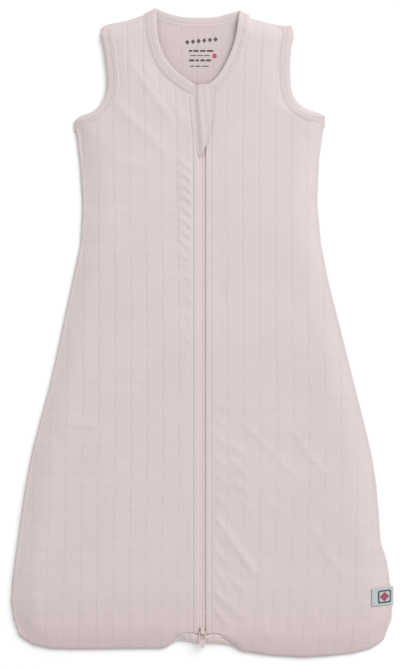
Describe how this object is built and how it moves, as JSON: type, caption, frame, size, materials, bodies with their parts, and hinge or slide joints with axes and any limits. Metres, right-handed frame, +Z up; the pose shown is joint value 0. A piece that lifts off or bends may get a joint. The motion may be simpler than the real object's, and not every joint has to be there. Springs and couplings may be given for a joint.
{
  "type": "baby sleeping bag",
  "caption": "Sleeveless flared baby sleeping bag lying flat, with bound neck and armholes, a centre-front zip that opens upwards, and a chin guard.",
  "frame": {"origin": "centre of the footprint, on the plane that the bag's back rests on", "axes": "+X to the right looking at the front, +Y along the bag towards the neck, +Z up out of the front"},
  "size_m": [0.3654, 0.621, 0.0115],
  "materials": {
    "cotton": "matt double-layer cotton with a fine woven windowpane check",
    "zip_tape": "matt herringbone zip tape",
    "zip_coil": "satin nylon",
    "painted_slider": "satin paint",
    "spring_steel": "bright steel",
    "label_mint": "satin woven tape",
    "label_white": "satin tape",
    "print_ink": "flat transfer print"
  },
  "bodies": {
    "bag": {"back_panel": "cotton", "front_right": "cotton", "front_left_side": "cotton", "armhole_binding_left": "cotton", "armhole_binding_right": "cotton", "neck_binding": "cotton", "zip_end_patch": "cotton", "zip_tape_left_foot": "zip_tape", "zip_tape_right": "zip_tape", "zip_coil_left_foot": "zip_coil", "zip_coil_right": "zip_coil", "zip_stop_left": "zip_coil", "zip_stop_right": "zip_coil", "zip_retainer_box": "zip_coil", "side_label": "label_mint", "care_label": "label_white", "neck_print": "print_ink"},
    "left_lapel": {"front_left_lapel": "cotton", "neck_binding_lapel": "cotton", "zip_tape_left": "zip_tape", "zip_coil_left": "zip_coil", "zip_insertion_pin": "zip_coil"},
    "guard": {"chin_guard": "cotton"},
    "slider": {"slider_body": "painted_slider", "slider_cap": "painted_slider", "slider_lock_spring": "spring_steel"},
    "pull_tab": {"pull_tab": "painted_slider"}
  },
  "joints": [
    {"name": "left_front_fold", "type": "hinge", "parent": "bag", "child": "left_lapel", "pos_m": [0, -0.262, 0.0093], "axis": [0.0804, -0.9968, 0], "range_deg": [0, 150]},
    {"name": "chin_guard_lift", "type": "hinge", "parent": "left_lapel", "child": "guard", "pos_m": [-0.0026, 0.1657, 0.0106], "axis": [0.0614, -0.9981, 0], "range_deg": [0, 150]},
    {"name": "slider_travel", "type": "slide", "parent": "bag", "child": "slider", "axis": [0, 1, 0], "range_m": [0, 0.43]},
    {"name": "pull_tab_swing", "type": "hinge", "parent": "slider", "child": "pull_tab", "pos_m": [0, -0.285, 0.0093], "axis": [-1, 0, 0], "range_deg": [0, 170]}
  ]
}
